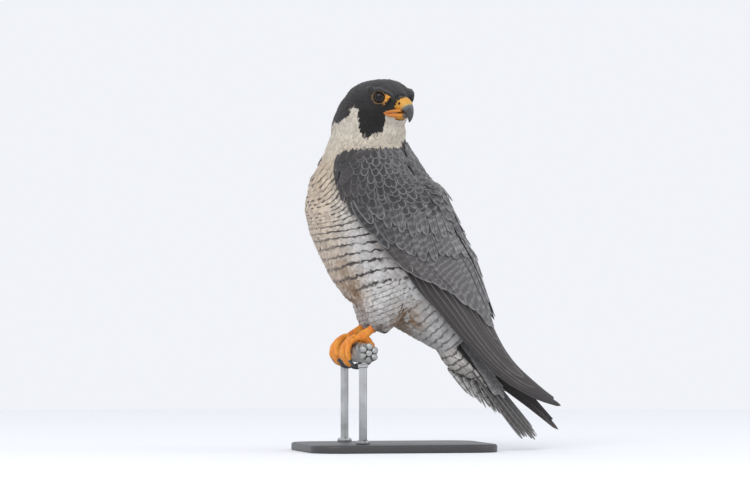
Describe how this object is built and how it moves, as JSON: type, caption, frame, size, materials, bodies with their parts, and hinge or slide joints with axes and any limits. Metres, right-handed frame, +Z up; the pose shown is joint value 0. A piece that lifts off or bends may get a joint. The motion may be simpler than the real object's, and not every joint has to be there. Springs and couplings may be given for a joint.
{
  "type": "peregrine falcon figure",
  "caption": "Life-size perched peregrine falcon with folded wings, head turned back over its shoulder, gripping a short steel strand held by a plain display stand.",
  "frame": {"origin": "centre of the mount on the underside of the stand's base, which is the floor the part stands on", "axes": "+Z up through the bird, -Y the way its breast faces, +X to the bird's left side"},
  "size_m": [0.15, 0.2668, 0.3719],
  "materials": {
    "head_plumage": "matt blackish slate feathers with white cheeks and throat",
    "neck_plumage": "matt cream feathers, dark down the nape",
    "breast_plumage": "soft cream and grey-white feathers with dark bars and small spots",
    "thigh_plumage": "soft grey-white feathers with fine dark bars",
    "wing_feathers": "slate feathers with pale edges, brown-black flight feathers",
    "tail_feathers": "dark grey barred feathers with whitish tips",
    "cere_skin": "waxy yellow skin",
    "bill_horn": "smooth blue-grey horn, darker to the tip",
    "lower_bill": "yellow horn, greyer to the tip",
    "eye": "glossy dark brown",
    "foot_skin": "scaly orange-yellow skin",
    "talon_horn": "smooth black horn",
    "strand_steel": "weathered galvanised steel",
    "rod_steel": "satin steel",
    "stand_plate": "satin dark paint"
  },
  "bodies": {
    "root": {"head": "head_plumage", "neck": "neck_plumage", "torso": "breast_plumage", "tail": "tail_feathers", "cere": "cere_skin", "bill_upper": "bill_horn", "bill_lower": "lower_bill", "perch": "strand_steel", "stand_base": "stand_plate", "stand_rod_left": "rod_steel", "stand_rod_right": "rod_steel", "eye_left": "eye", "wing_left": "wing_feathers", "thigh_left": "thigh_plumage", "leg_left": "foot_skin", "talon_left_inner": "talon_horn", "talon_left_middle": "talon_horn", "talon_left_outer": "talon_horn", "talon_left_hind": "talon_horn", "eye_right": "eye", "wing_right": "wing_feathers", "thigh_right": "thigh_plumage", "leg_right": "foot_skin", "talon_right_inner": "talon_horn", "talon_right_middle": "talon_horn", "talon_right_outer": "talon_horn", "talon_right_hind": "talon_horn"}
  },
  "joints": []
}
